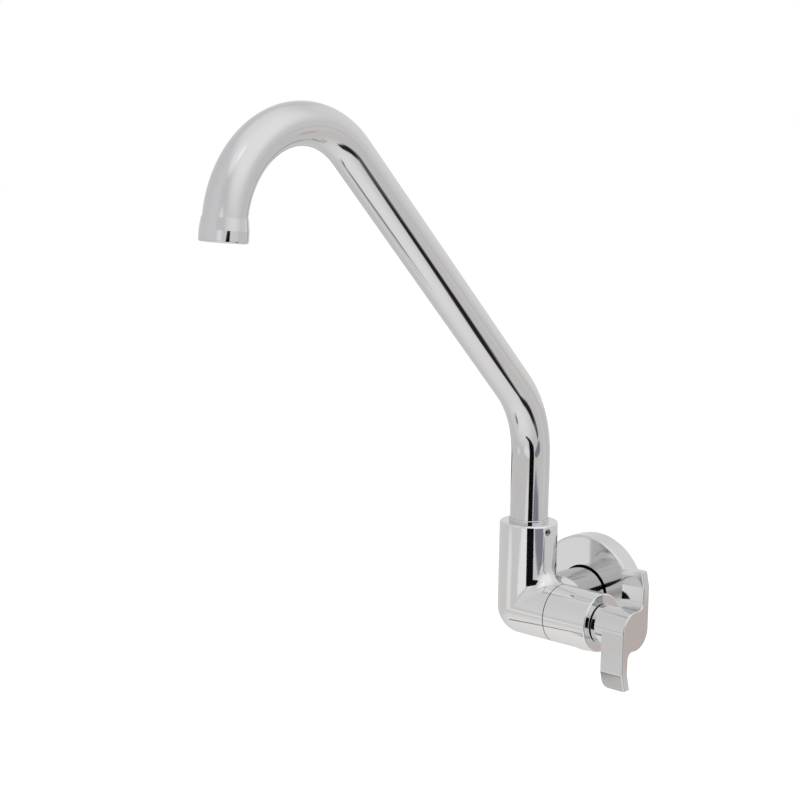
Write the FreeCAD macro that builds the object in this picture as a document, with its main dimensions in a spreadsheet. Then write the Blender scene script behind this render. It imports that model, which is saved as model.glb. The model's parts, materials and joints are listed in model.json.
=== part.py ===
"""Wall tap with a high swivel spout and a two-wing quarter-turn lever.

Millimetres. The origin is the centre of the inlet on the wall plane. +X points to the lever's side,
-Y out into the room and +Z up. The swivel axis is vertical, the valve axis runs along X at the
inlet's height, and the inlet axis runs along Y.
"""
import FreeCAD, Part
import Sketcher
import math
import os
from types import SimpleNamespace
from FreeCAD import Placement, Rotation, Vector

doc = FreeCAD.newDocument("WallTap")
sheet = doc.addObject("Spreadsheet::Sheet", "Sizes")

DRIVING = [
    # casting
    ("wallToSwivel", 56.0, "wall plane to swivel axis"),
    ("inletOffset", 8.0, "swivel axis to inlet axis, towards the lever"),
    ("barrelRadius", 16.75, "socket and valve barrel, outside"),
    ("armRadius", 16.25, "inlet arm, outside"),
    ("armEnd", 3.0, "arm's shoulder to the wall plane"),
    ("socketTop", 50.0, "valve axis to the top of the socket"),
    ("socketFloor", 20.0, "valve axis to the bottom of the socket's bore"),
    ("socketEdge", 1.3, "rounded top edge of the socket"),
    ("crotchRound", 8.0, "casting radius between socket and barrel"),
    ("armRound", 5.0, "casting radius round the inlet arm"),
    ("seamAt", 25.0, "swivel axis to the barrel's end face"),
    ("seatAt", 2.5, "swivel axis to the valve seat"),
    ("chamberRadius", 10.5, "valve chamber and headwork thread in the casting"),
    ("portRadius", 4.2, "port behind the seat and riser to the socket"),
    ("riserOffset", 4.5, "swivel axis to the riser, away from the lever"),
    ("inletBore", 6.5, "radius of the inlet bore"),
    ("inletPort", 5.0, "radius of the inlet bore where it meets the chamber"),
    ("inletPortDepth", 40.0, "wall plane to the step in the inlet bore"),
    ("pipeThread", 10.48, "radius of the G1/2 wall thread over its crests"),
    ("pipeThreadOut", 13.0, "thread's length beyond the wall plane"),
    ("slip", 0.05, "radial clearance of the running fits"),
    ("overshoot", 1.0, "how far a cutting shape runs past the face that it opens"),
    # wall flange
    ("flangeRadius", 35.0, "wall flange, outside"),
    ("flangeDepth", 12.5, "wall flange, front to back"),
    ("flangeWall", 1.6, "wall flange, sheet thickness"),
    ("flangeEdge", 1.4, "rounded front edge of the flange"),
    ("flangeGap", 1.1, "radial gap round the inlet arm"),
    ("sealHole", 14.0, "foam disc behind the flange, radius of its hole"),
    ("sealDepth", 2.5, "foam disc behind the flange, front to back"),
    # headwork
    ("noseStart", 4.0, "swivel axis to the housing's open end"),
    ("noseRadius", 9.3, "housing round the discs, outside"),
    ("noseBore", 8.45, "housing round the discs, inside"),
    ("discStart", 4.5, "swivel axis to the fixed disc"),
    ("discSplit", 8.0, "swivel axis to the plane where the discs rub"),
    ("discEnd", 11.0, "swivel axis to the turning disc's back"),
    ("discRadius", 8.2, "ceramic discs"),
    ("discBore", 6.2, "outer radius of the ports in the discs"),
    ("discWeb", 1.8, "inner radius of the ports in the discs"),
    ("sealBore", 6.8, "seat seal, inside radius"),
    ("footEnd", 13.55, "swivel axis to the back of the spindle's foot"),
    ("washerDepth", 0.6, "spindle washer, thickness"),
    ("threadStart", 14.4, "swivel axis to the headwork thread"),
    ("headworkThread", 10.48, "radius of the G1/2 headwork thread"),
    ("gasketDepth", 1.2, "headwork gasket, thickness"),
    ("gasketRadius", 12.9, "headwork gasket, outside"),
    ("hexRadius", 13.8, "headwork hexagon, across corners, half"),
    ("hexDepth", 5.0, "headwork hexagon, thickness"),
    ("neckRadius", 9.0, "threaded neck of the housing"),
    ("neckEnd", 53.4, "swivel axis to the end of the threaded neck"),
    ("windowWidth", 9.0, "side windows of the housing, across"),
    ("windowEnd", 12.6, "swivel axis to the far edge of the windows"),
    ("spindleRadius", 5.0, "spindle in its bearing"),
    ("clipGroove", 4.2, "spindle radius under the clip"),
    ("clipRadius", 6.8, "spindle clip, outside"),
    ("clipDepth", 0.8, "spindle clip, thickness"),
    ("clipOpening", 6.0, "spindle clip, open side"),
    ("ringSection", 0.9, "section radius of the spout's sealing rings"),
    ("smallSection", 0.8, "section radius of the spindle's sealing rings"),
    ("grooveSlack", 0.3, "side clearance of a sealing ring in its groove"),
    ("innerRingAt", 36.0, "swivel axis to the inner spindle ring"),
    ("outerRingAt", 42.0, "swivel axis to the outer spindle ring"),
    ("splineTip", 4.0, "spline over its teeth, radius"),
    ("splineRoot", 3.55, "spline at its roots, radius"),
    ("splineEnd", 70.0, "swivel axis to the spindle's outer end"),
    ("gapRootHalf", 0.18, "gap between two teeth at the root, half width"),
    ("gapTipHalf", 0.33, "gap between two teeth at the tip, half width"),
    ("slotRootHalf", 0.44, "lever's slot for a tooth at the root, half width"),
    ("slotTipHalf", 0.36, "lever's slot for a tooth at the tip, half width"),
    # sleeve
    ("sleeveEnd", 54.6, "swivel axis to the sleeve's outer face"),
    ("sleeveBore", 14.6, "sleeve, inside radius"),
    ("sleeveFloor", 4.0, "sleeve's end wall, thickness"),
    ("seamGap", 0.5, "visible line between barrel and sleeve"),
    ("sleeveEdge", 0.8, "rounded outer edge of the sleeve"),
    # lever
    ("hubStart", 55.2, "swivel axis to the hub's inner face"),
    ("wingStart", 63.0, "swivel axis to the wings' inner edge"),
    ("hubEnd", 78.0, "swivel axis to the lever's end face"),
    ("hubRadius", 11.5, "hub and outer face of the wings"),
    ("wingInner", 6.3, "valve axis to the wings' inner face"),
    ("wingKink", 23.5, "valve axis to the bend in the wings"),
    ("wingTip", 33.0, "valve axis to the wings' tips"),
    ("tipOuter", 8.9, "outer face at the tip"),
    ("tipInner", 3.8, "inner face at the tip"),
    ("wingRoot", 4.0, "radius between hub and wing"),
    ("wingBend", 4.0, "radius of the bend in the wings"),
    ("tipCorner", 4.0, "rounded corner of the tips on the inner edge"),
    ("leverEdge", 0.7, "rounded edges of the lever"),
    ("splineDepth", 71.0, "swivel axis to the bottom of the lever's bore"),
    ("grubRadius", 2.0, "M4 grub screws"),
    ("grubSlip", 0.05, "clearance of the grub screws' holes"),
    ("leverGrubAt", 59.0, "swivel axis to the lever's grub screw"),
    ("grubLength", 4.5, "grub screws, length of the thread"),
    ("leverGrubTip", 0.9, "tip of the lever's grub screw, length"),
    ("grubHex", 1.15, "hexagon socket, across corners, half"),
    ("grubHexDepth", 2.0, "hexagon socket, depth"),
    # spout
    ("tubeRadius", 11.0, "spout tube, outside"),
    ("tubeWall", 1.0, "spout tube, wall"),
    ("tubeFoot", 0.6, "socket top to the tube's lower end"),
    ("tubeRise", 38.0, "socket top to the lower bend"),
    ("lowerBend", 60.0, "lower bend, centre line radius"),
    ("slant", 45.0, "slant of the long run from upright, degrees"),
    ("longRun", 188.0, "long straight run"),
    ("upperBend", 50.0, "upper bend, centre line radius"),
    ("outletTilt", 5.0, "outlet's tilt out from plumb, degrees"),
    ("outletRun", 10.0, "upper bend to the outlet's edge"),
    ("spigotFoot", 22.0, "valve axis to the spigot's lower end"),
    ("spigotBore", 7.5, "spigot, inside radius"),
    ("spigotNeck", 12.0, "spigot's length inside the tube"),
    ("guideDepth", 2.4, "guide rings, height"),
    ("guideThick", 1.1, "guide rings, radial thickness"),
    ("lowerGuideAt", 25.8, "valve axis to the lower guide ring"),
    ("upperGuideAt", 40.8, "valve axis to the upper guide ring"),
    ("lowerRingAt", 31.0, "valve axis to the lower sealing ring"),
    ("upperRingAt", 36.0, "valve axis to the upper sealing ring"),
    ("screwBelowTop", 4.0, "socket top to the spout's grub screw"),
    ("screwGroove", 3.6, "height of the groove for the grub screw's tip"),
    ("screwGrooveDepth", 1.8, "depth of that groove"),
    ("screwTip", 1.2, "radius of the screw's tip"),
    ("screwTipGap", 0.3, "screw's tip to the bottom of the groove"),
    ("screwTurn", 10.0, "grub screw's turn from +X towards the room, degrees"),
    ("lipRadius", 11.6, "lip ring, outside"),
    ("lipDepth", 1.9, "lip ring, height"),
    ("lipGap", 0.12, "radial gap between lip ring and tube"),
    ("lipEdge", 0.35, "rounded upper edge of the lip ring"),
    # aerator
    ("collarRadius", 12.1, "aerator shell, outside"),
    ("collarDepth", 12.0, "aerator shell, height"),
    ("collarLip", 1.1, "lip at the shell's open end"),
    ("collarMouth", 9.8, "shell's mouth, radius"),
    ("collarEdge", 1.2, "rounded lower edge of the shell"),
    ("collarThroat", 11.35, "radius of the shell's upper edge"),
    ("collarFlare", 6.0, "height of the cone below that edge"),
    ("tubeShort", 3.0, "outlet's edge to the tube's end inside the shell"),
    ("aeratorWasher", 0.9, "aerator washer, thickness"),
    ("cupRadius", 9.5, "aerator cup, outside"),
    ("cupBore", 8.6, "aerator cup, inside"),
    ("cupTop", 2.0, "shell's upper edge to the cup's upper end"),
    ("cupEnd", 11.6, "shell's upper edge to the cup's lower end"),
    ("insertTop", 7.6, "shell's upper edge to the top of the flow straightener"),
    ("insertEnd", 11.2, "shell's upper edge to the bottom of the flow straightener"),
    ("jetRadius", 0.95, "holes of the flow straightener"),
    ("jetRing", 5.9, "radius of the outer ring of holes"),
    ("jetRingInner", 3.0, "radius of the inner ring of holes"),
    ("screenTop", 5.6, "shell's upper edge to the screen"),
    ("screenDepth", 0.5, "screen, thickness"),
    ("meshRadius", 0.6, "openings of the screen"),
    ("closeFit", 0.02, "clearance between pieces that are fitted tight"),
]

SPLINE_TEETH = 20
WING_COUNT = 2
PORT_COUNT = 2
PORT_HALF_ANGLE = 38.0
OUTER_JETS = 12
INNER_JETS = 6
MESH_RINGS = ((2.0, 6), (4.0, 12), (6.0, 18), (7.6, 24))
FULL_TURN = 360.0
NEAR = 0.01          # two places this close are the same
ALONG = 0.99         # cosine above which an edge counts as parallel to local Z
EDGE_MATCH = 0.3     # an upright edge is found within this distance of its corner
PROBE_RADIUS = 0.5   # circle of test points round an edge
PROBE_STEPS = 24
HOLLOW_SHARE = 0.56  # share of that circle inside the solid at an inner corner


class Size:
    """A number with the sheet formula that it comes from."""

    def __init__(self, value, formula):
        self.value = value
        self.formula = formula

    def joined(self, sign, other, value):
        return Size(value, "(%s %s %s)" % (self.formula, sign, asSize(other).formula))

    def __add__(self, other):
        return self.joined("+", other, self.value + asSize(other).value)

    def __sub__(self, other):
        return self.joined("-", other, self.value - asSize(other).value)

    def __mul__(self, other):
        return self.joined("*", other, self.value * asSize(other).value)

    def __truediv__(self, other):
        return self.joined("/", other, self.value / asSize(other).value)

    def __neg__(self):
        return Size(-self.value, "(-%s)" % self.formula)


def asSize(number):
    return number if isinstance(number, Size) else Size(float(number), "%g" % number)


S = SimpleNamespace()
for row, (alias, value, meaning) in enumerate(DRIVING, start=1):
    sheet.set("A%d" % row, meaning)
    sheet.set("B%d" % row, "%g" % value)
    sheet.setAlias("B%d" % row, alias)
    setattr(S, alias, Size(value, "Sizes." + alias))
doc.recompute()


# Where the pieces stand. Each piece is drawn on its own axis, local +Z.

SOCKET_AXIS = Rotation()
VALVE_AXIS = Rotation(Vector(0, 1, 0), 90)
WALL_AXIS = Rotation(Vector(1, 0, 0), 90)


def bind(thing, prop, size):
    thing.setExpression(prop, size.formula)


def standOnSwivel(thing, rotation, rise=None):
    """Puts local zero on the swivel axis at the valve axis's height, or at rise above it."""
    height = rise.value if rise else 0.0
    thing.Placement = Placement(Vector(-S.inletOffset.value, -S.wallToSwivel.value, height), rotation)
    bind(thing, "Placement.Base.x", -S.inletOffset)
    bind(thing, "Placement.Base.y", -S.wallToSwivel)
    if rise:
        bind(thing, "Placement.Base.z", rise)


def standOnWall(thing):
    thing.Placement = Placement(Vector(), WALL_AXIS)


def spoutPath():
    """Key points of the spout's centre line: x is the reach, y the height above the tube's foot."""
    slant = math.radians(S.slant.value)
    last = math.radians(90.0 - S.outletTilt.value)
    foot = Vector(0, 0, 0)
    bend = Vector(0, S.tubeRise.value - S.tubeFoot.value, 0)
    lowerCentre = bend + Vector(S.lowerBend.value, 0, 0)
    slopeStart = lowerCentre + Vector(-math.cos(slant), math.sin(slant), 0) * S.lowerBend.value
    slopeEnd = slopeStart + Vector(math.sin(slant), math.cos(slant), 0) * S.longRun.value
    upperCentre = slopeEnd + Vector(math.cos(slant), -math.sin(slant), 0) * S.upperBend.value
    bendEnd = upperCentre + Vector(math.sin(last), math.cos(last), 0) * S.upperBend.value
    down = Vector(math.cos(last), -math.sin(last), 0)
    tubeEnd = bendEnd + down * (S.outletRun.value - S.tubeShort.value)
    outlet = bendEnd + down * S.outletRun.value
    return SimpleNamespace(foot=foot, bend=bend, lowerCentre=lowerCentre, slopeStart=slopeStart,
                           slopeEnd=slopeEnd, upperCentre=upperCentre, bendEnd=bendEnd, down=down,
                           tubeEnd=tubeEnd, outlet=outlet)


path = spoutPath()


def standAtOutlet(thing):
    """Puts local zero at the aerator shell's upper edge, with local +Z out of the outlet."""
    top = path.outlet - path.down * S.collarDepth.value
    foot = S.socketTop.value + S.tubeFoot.value
    place = Vector(-S.inletOffset.value, -S.wallToSwivel.value - top.x, foot + top.y)
    thing.Placement = Placement(place, Rotation(Vector(0, 0, 1), Vector(0, -path.down.x, path.down.y)))


# Sketches and features

def plane(body, role):
    return [item for item in body.Origin.OriginFeatures if item.Role == role][0]


def newBody(name):
    return doc.addObject("PartDesign::Body", name)


def newSketch(body, name, role="XY_Plane", height=None):
    sketch = body.newObject("Sketcher::SketchObject", name)
    sketch.AttachmentSupport = [(plane(body, role), "")]
    sketch.MapMode = "FlatFace"
    if height is not None:
        height = asSize(height)
        sketch.AttachmentOffset = Placement(Vector(0, 0, height.value), Rotation())
        bind(sketch, "AttachmentOffset.Base.z", height)
    return sketch


def bindConstraint(sketch, kind, size, *where):
    number = sketch.addConstraint(Sketcher.Constraint(kind, *where, size.value))
    sketch.setExpression("Constraints[%d]" % number, size.formula)


def pinPoint(sketch, line, end, x, y):
    """Ties one end of a line to a place in the sketch."""
    for kind, axis, size in (("DistanceX", -2, asSize(x)), ("DistanceY", -1, asSize(y))):
        if size.value == 0:
            sketch.addConstraint(Sketcher.Constraint("PointOnObject", line, end, axis))
        else:
            bindConstraint(sketch, kind, size, -1, 1, line, end)


def drawOutline(sketch, corners):
    """A closed outline of straight lines, every corner tied to the sheet."""
    spots = [Vector(asSize(x).value, asSize(y).value, 0) for x, y in corners]
    count = len(spots)
    first = sketch.GeometryCount
    for at in range(count):
        sketch.addGeometry(Part.LineSegment(spots[at], spots[(at + 1) % count]), False)
    for at in range(count):
        following = first + (at + 1) % count
        sketch.addConstraint(Sketcher.Constraint("Coincident", first + at, 2, following, 1))
        pinPoint(sketch, first + at, 1, *corners[at])


def drawCircle(sketch, x, y, radius):
    x, y, radius = asSize(x), asSize(y), asSize(radius)
    centre = Vector(x.value, y.value, 0)
    circle = sketch.addGeometry(Part.Circle(centre, Vector(0, 0, 1), radius.value), False)
    pinPoint(sketch, circle, 3, x, y)
    bindConstraint(sketch, "Radius", radius, circle)


def drawSector(sketch, inner, outer, halfAngle):
    """A ring sector about the sketch's X axis, centred on the origin."""
    half = math.radians(halfAngle)
    up, across = Vector(0, 0, 1), Vector()
    outerArc = sketch.addGeometry(Part.ArcOfCircle(Part.Circle(across, up, outer.value), -half, half), False)
    innerArc = sketch.addGeometry(Part.ArcOfCircle(Part.Circle(across, up, inner.value), -half, half), False)
    for arc, size in ((outerArc, outer), (innerArc, inner)):
        sketch.addConstraint(Sketcher.Constraint("Coincident", arc, 3, -1, 1))
        bindConstraint(sketch, "Radius", size, arc)
    for end, sign in ((1, -1), (2, 1)):
        ray = Vector(math.cos(half), sign * math.sin(half), 0)
        line = sketch.addGeometry(Part.LineSegment(ray * inner.value, ray * outer.value), False)
        sketch.addConstraint(Sketcher.Constraint("Coincident", line, 1, innerArc, end))
        sketch.addConstraint(Sketcher.Constraint("Coincident", line, 2, outerArc, end))
        sketch.addConstraint(Sketcher.Constraint("Angle", line, sign * half))


def padded(body, sketch, name, length):
    pad = body.newObject("PartDesign::Pad", name)
    pad.Profile = sketch
    pad.Length = asSize(length).value
    bind(pad, "Length", asSize(length))
    doc.recompute()
    return pad


def pocketed(body, sketch, name, length=None, reverse=False, bothWays=False):
    """Cuts the sketch into the body, to a length or right through, and makes sure that it cut."""
    before = body.Shape.Volume
    pocket = body.newObject("PartDesign::Pocket", name)
    pocket.Profile = sketch
    pocket.Reversed = reverse
    if bothWays:
        pocket.Midplane = True
    if length is None:
        pocket.Type = "ThroughAll"
    else:
        pocket.Length = asSize(length).value
        bind(pocket, "Length", asSize(length))
    doc.recompute()
    if body.Shape.Volume >= before:
        raise ValueError(name + " cuts nothing")
    return pocket


def repeated(body, feature, name, count):
    pattern = body.newObject("PartDesign::PolarPattern", name)
    pattern.Originals = [feature]
    pattern.Axis = (plane(body, "Z_Axis"), [""])
    pattern.Angle = FULL_TURN
    pattern.Occurrences = count
    body.Tip = pattern
    doc.recompute()
    return pattern


def turned(name, outline):
    """A body of revolution; the outline's corners are (radius, height)."""
    body = newBody(name)
    profile = newSketch(body, name + "_profile", "XZ_Plane")
    drawOutline(profile, outline)
    spin = body.newObject("PartDesign::Revolution", name + "_turned")
    spin.Profile = profile
    spin.ReferenceAxis = (profile, ["V_Axis"])
    spin.Angle = FULL_TURN
    doc.recompute()
    return body


def ringOutline(inner, outer, low, high):
    return [(inner, low), (outer, low), (outer, high), (inner, high)]


def edgeNames(shape, wanted):
    """Names of the edges whose middle point passes the test."""
    names = []
    for number, edge in enumerate(shape.Edges, start=1):
        if edge.Length > NEAR and wanted(edge):
            names.append("Edge%d" % number)
    return names


def middle(edge):
    return edge.valueAt((edge.FirstParameter + edge.LastParameter) / 2)


def circleAt(radius, height):
    """A test for the full circle of that radius at that height about the local axis."""
    def wanted(edge):
        spot = middle(edge)
        far = abs(math.hypot(spot.x, spot.y) - asSize(radius).value)
        return far < NEAR and abs(spot.z - asSize(height).value) < NEAR
    return wanted


def smoothed(body, name, wanted, radius, kind="PartDesign::Fillet"):
    """Rounds or chamfers the wanted edges of the body."""
    base = body.Tip
    edges = edgeNames(base.Shape, wanted)
    if not edges:
        raise ValueError(name + " finds no edge")
    feature = body.newObject(kind, name)
    feature.Base = (base, edges)
    prop = "Radius" if kind.endswith("Fillet") else "Size"
    setattr(feature, prop, asSize(radius).value)
    bind(feature, prop, asSize(radius))
    doc.recompute()
    return feature


def chamfered(body, name, wanted, size):
    return smoothed(body, name, wanted, size, "PartDesign::Chamfer")


def cylinder(name, radius, length, place, rotation=None):
    """A cylinder from place along the rotated +Z."""
    rod = doc.addObject("Part::Cylinder", name)
    bind(rod, "Radius", asSize(radius))
    bind(rod, "Height", asSize(length))
    rod.Placement = Placement(Vector(*[asSize(p).value for p in place]), rotation or Rotation())
    for letter, size in zip("xyz", place):
        bind(rod, "Placement.Base." + letter, asSize(size))
    return rod


def fused(name, *things):
    union = doc.addObject("Part::MultiFuse", name)
    union.Shapes = list(things)
    union.Refine = True
    doc.recompute()
    return union


def cut(name, base, tool):
    result = doc.addObject("Part::Cut", name)
    result.Base = base
    result.Tool = tool
    result.Refine = True
    doc.recompute()
    return result


def filleted(name, base, wanted, size):
    """A Part fillet of one radius on the wanted edges of the base."""
    numbers = [int(edge[4:]) for edge in edgeNames(base.Shape, wanted)]
    result = doc.addObject("Part::Fillet", name)
    result.Base = base
    result.Edges = [(number, size.value, size.value) for number in numbers]
    doc.recompute()
    return result


subParts = []


def finished(thing, label):
    thing.Label = label
    subParts.append((thing, label))
    return thing


# Casting

def isHollowCorner(shape, edge):
    """True where more than half of a small circle about the edge's middle is inside the solid."""
    spot = middle(edge)
    along = edge.tangentAt((edge.FirstParameter + edge.LastParameter) / 2)
    side = along.cross(Vector(0.3, 0.5, 0.8)).normalize()
    other = along.cross(side)
    inside = 0
    for step in range(PROBE_STEPS):
        turn = 2 * math.pi * step / PROBE_STEPS
        probe = spot + (side * math.cos(turn) + other * math.sin(turn)) * PROBE_RADIUS
        inside += shape.isInside(probe, NEAR, False)
    return inside > HOLLOW_SHARE * PROBE_STEPS


def bodyCasting():
    swivel = (-S.inletOffset, -S.wallToSwivel, 0)
    alongY = Rotation(Vector(1, 0, 0), -90)
    socket = cylinder("socket", S.barrelRadius, S.socketTop, swivel)
    barrel = cylinder("barrel", S.barrelRadius, S.seamAt, swivel, VALVE_AXIS)
    corner = doc.addObject("Part::Sphere", "corner")
    bind(corner, "Radius", S.barrelRadius)
    standOnSwivel(corner, SOCKET_AXIS)
    elbow = fused("elbow", socket, barrel, corner)

    def isCrotch(edge):
        spot = middle(edge)
        beside = spot.x + S.inletOffset.value
        onMitre = abs(beside - spot.z) < EDGE_MATCH and spot.z > EDGE_MATCH
        return onMitre and isHollowCorner(elbow.Shape, edge)
    elbow = filleted("elbow_rounded", elbow, isCrotch, S.crotchRound)

    arm = cylinder("arm", S.armRadius, S.wallToSwivel - S.armEnd, (0, -S.wallToSwivel, 0), alongY)
    outside = fused("outside", elbow, arm)

    def isArmRoot(edge):
        spot = middle(edge)
        nearArm = spot.y > -S.wallToSwivel.value + EDGE_MATCH and spot.z < S.socketFloor.value
        return nearArm and edge.Length > PROBE_RADIUS and isHollowCorner(outside.Shape, edge)
    outside = filleted("outside_rounded", outside, isArmRoot, S.armRound)

    def isSocketRim(edge):
        return abs(middle(edge).z - S.socketTop.value) < NEAR
    outside = filleted("outside_edged", outside, isSocketRim, S.socketEdge)
    stubStart = S.armEnd + S.overshoot
    stub = cylinder("wall_thread", S.pipeThread, S.pipeThreadOut + stubStart, (0, -stubStart, 0), alongY)
    outside = fused("outside_whole", outside, stub)

    boreLength = S.socketTop - S.socketFloor + S.overshoot
    top = (-S.inletOffset, -S.wallToSwivel, S.socketFloor)
    riser = (-S.inletOffset - S.riserOffset, -S.wallToSwivel, 0)
    seat = (S.seatAt - S.inletOffset, -S.wallToSwivel, 0)
    screwAxis = Rotation(Vector(0, 0, 1), -S.screwTurn.value) * VALVE_AXIS
    screwPlace = (-S.inletOffset, -S.wallToSwivel, S.socketTop - S.screwBelowTop)
    hollows = [
        cylinder("socket_bore", S.tubeRadius + S.slip, boreLength, top),
        cylinder("riser", S.portRadius, S.socketFloor + S.overshoot, riser),
        cylinder("port", S.portRadius, S.seatAt + S.riserOffset + S.overshoot, riser, VALVE_AXIS),
        cylinder("chamber", S.chamberRadius, S.seamAt - S.seatAt + S.overshoot, seat, VALVE_AXIS),
        cylinder("inlet_port", S.inletPort, S.wallToSwivel, (0, -S.wallToSwivel, 0), alongY),
        cylinder("inlet_bore", S.inletBore, S.inletPortDepth + S.pipeThreadOut + S.overshoot,
                 (0, -S.inletPortDepth, 0), alongY),
        cylinder("screw_hole", S.grubRadius + S.grubSlip, S.barrelRadius + S.overshoot,
                 screwPlace, screwAxis),
    ]
    return finished(cut("body", outside, fused("hollows", *hollows)), "body_casting")


# Wall pieces: local height is the distance from the wall

def wallFlange():
    hole = S.armRadius + S.flangeGap
    front, back = S.flangeDepth, S.flangeDepth - S.flangeWall
    inside = S.flangeRadius - S.flangeWall
    body = turned("flange", [(hole, back), (inside, back), (inside, 0), (S.flangeRadius, 0),
                             (S.flangeRadius, front), (hole, front)])
    smoothed(body, "flange_edge", circleAt(S.flangeRadius, front), S.flangeEdge)
    standOnWall(body)
    return finished(body, "wall_flange")


def flangeSeal():
    outer = S.flangeRadius - S.flangeWall - S.closeFit
    body = turned("foam", ringOutline(S.sealHole, outer, 0, S.sealDepth))
    standOnWall(body)
    return finished(body, "flange_seal")


# Headwork: local height is the distance from the swivel axis

def onValveAxis(body, label):
    standOnSwivel(body, VALVE_AXIS)
    return finished(body, label)


def headworkHousing():
    hexStart = S.seamAt + S.gasketDepth
    shoulder = S.footEnd + S.washerDepth + S.slip
    bearing = S.spindleRadius + S.slip
    body = turned("housing_turned", [
        (S.noseBore, S.noseStart), (S.noseRadius, S.noseStart), (S.noseRadius, S.threadStart),
        (S.headworkThread, S.threadStart), (S.headworkThread, hexStart), (S.neckRadius, hexStart),
        (S.neckRadius, S.neckEnd), (bearing, S.neckEnd), (bearing, shoulder), (S.noseBore, shoulder)])
    windows = newSketch(body, "window_outline", "XZ_Plane")
    half = S.windowWidth / 2
    drawOutline(windows, [(-half, S.discSplit), (half, S.discSplit), (half, S.windowEnd),
                          (-half, S.windowEnd)])
    pocketed(body, windows, "windows", bothWays=True)
    hexagon = doc.addObject("Part::Prism", "hexagon")
    hexagon.Polygon = 6
    bind(hexagon, "Circumradius", S.hexRadius)
    bind(hexagon, "Height", S.hexDepth)
    hexagon.Placement = Placement(Vector(0, 0, hexStart.value), Rotation())
    bind(hexagon, "Placement.Base.z", hexStart)
    hole = cylinder("hexagon_bore", S.neckRadius, S.hexDepth, (0, 0, hexStart))
    whole = fused("housing", body, cut("hexagon_ring", hexagon, hole))
    return onValveAxis(whole, "headwork_housing")


def headworkGasket():
    inner = S.headworkThread + S.closeFit
    body = turned("gasket", ringOutline(inner, S.gasketRadius, S.seamAt, S.seamAt + S.gasketDepth))
    return onValveAxis(body, "headwork_gasket")


def seatSeal():
    body = turned("seat_ring", ringOutline(S.sealBore, S.discRadius, S.seatAt, S.discStart))
    return onValveAxis(body, "seat_seal")


def ceramicDisc(name, label, low, high, turnBy):
    """A disc with its flow ports; the ports of the two discs stand a quarter turn apart when shut."""
    body = newBody(name)
    face = newSketch(body, name + "_face", height=low)
    drawCircle(face, 0, 0, S.discRadius)
    padded(body, face, name + "_blank", high - low)
    port = newSketch(body, name + "_port", height=low)
    port.AttachmentOffset = Placement(Vector(0, 0, low.value), Rotation(Vector(0, 0, 1), turnBy))
    drawSector(port, S.discWeb, S.discBore, PORT_HALF_ANGLE)
    ports = pocketed(body, port, name + "_opening", reverse=True)
    repeated(body, ports, name + "_openings", PORT_COUNT)
    return onValveAxis(body, label)


def spindleRing(name, label, at):
    """A sealing ring in the spindle's groove, just clear of the bearing."""
    ring = doc.addObject("Part::Torus", name)
    bind(ring, "Radius1", S.spindleRadius + S.slip - S.closeFit - S.smallSection)
    bind(ring, "Radius2", S.smallSection)
    place = Vector(at.value - S.inletOffset.value, -S.wallToSwivel.value, 0)
    ring.Placement = Placement(place, VALVE_AXIS)
    bind(ring, "Placement.Base.x", at - S.inletOffset)
    bind(ring, "Placement.Base.y", -S.wallToSwivel)
    return finished(ring, label)


def grooveOutline(outer, depth, at, halfHeight):
    """Corners that dip into a groove, from low to high."""
    floor = outer - depth
    low, high = at - halfHeight, at + halfHeight
    return [(outer, low), (floor, low), (floor, high), (outer, high)]


def toothGap(root, tip, rootHalf, tipHalf):
    return [(root, -rootHalf), (tip, -tipHalf), (tip, tipHalf), (root, rootHalf)]


def spindle():
    shaft = S.spindleRadius
    ringDepth = S.smallSection * 2
    ringHalf = S.smallSection + S.grooveSlack
    clipStart = S.neckEnd + S.slip
    clipEnd = clipStart + S.clipDepth + S.slip
    outline = [(0, S.discEnd), (S.discRadius, S.discEnd), (S.discRadius, S.footEnd), (shaft, S.footEnd)]
    outline += grooveOutline(shaft, ringDepth, S.innerRingAt, ringHalf)
    outline += grooveOutline(shaft, ringDepth, S.outerRingAt, ringHalf)
    outline += [(shaft, clipStart), (S.clipGroove, clipStart), (S.clipGroove, clipEnd),
                (S.splineTip, clipEnd), (S.splineTip, S.splineEnd), (0, S.splineEnd)]
    body = turned("spindle_blank", outline)
    chamfered(body, "spindle_lead", circleAt(S.splineTip, S.splineEnd), S.splineTip - S.splineRoot)
    gap = newSketch(body, "spline_gap", height=clipEnd)
    halfPitch = 180.0 / SPLINE_TEETH
    gap.AttachmentOffset = Placement(Vector(0, 0, clipEnd.value), Rotation(Vector(0, 0, 1), halfPitch))
    drawOutline(gap, toothGap(S.splineRoot, S.splineTip + S.slip, S.gapRootHalf, S.gapTipHalf))
    one = pocketed(body, gap, "spline_groove", reverse=True)
    repeated(body, one, "spline", SPLINE_TEETH)
    return onValveAxis(body, "spindle")


def spindleWasher():
    low = S.footEnd
    body = turned("washer", ringOutline(S.spindleRadius + S.closeFit, S.discRadius, low, low + S.washerDepth))
    return onValveAxis(body, "spindle_washer")


def spindleClip():
    body = newBody("clip")
    low = S.neckEnd + S.slip + S.closeFit
    face = newSketch(body, "clip_face", height=low)
    drawCircle(face, 0, 0, S.clipRadius)
    drawCircle(face, 0, 0, S.clipGroove + S.closeFit)
    padded(body, face, "clip_ring", S.clipDepth)
    mouth = newSketch(body, "clip_mouth", height=low)
    half = S.clipOpening / 2
    out = S.clipRadius + S.overshoot
    drawOutline(mouth, [(0, -half), (out, -half), (out, half), (0, half)])
    pocketed(body, mouth, "clip_opening", reverse=True)
    return onValveAxis(body, "spindle_clip")


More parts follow.
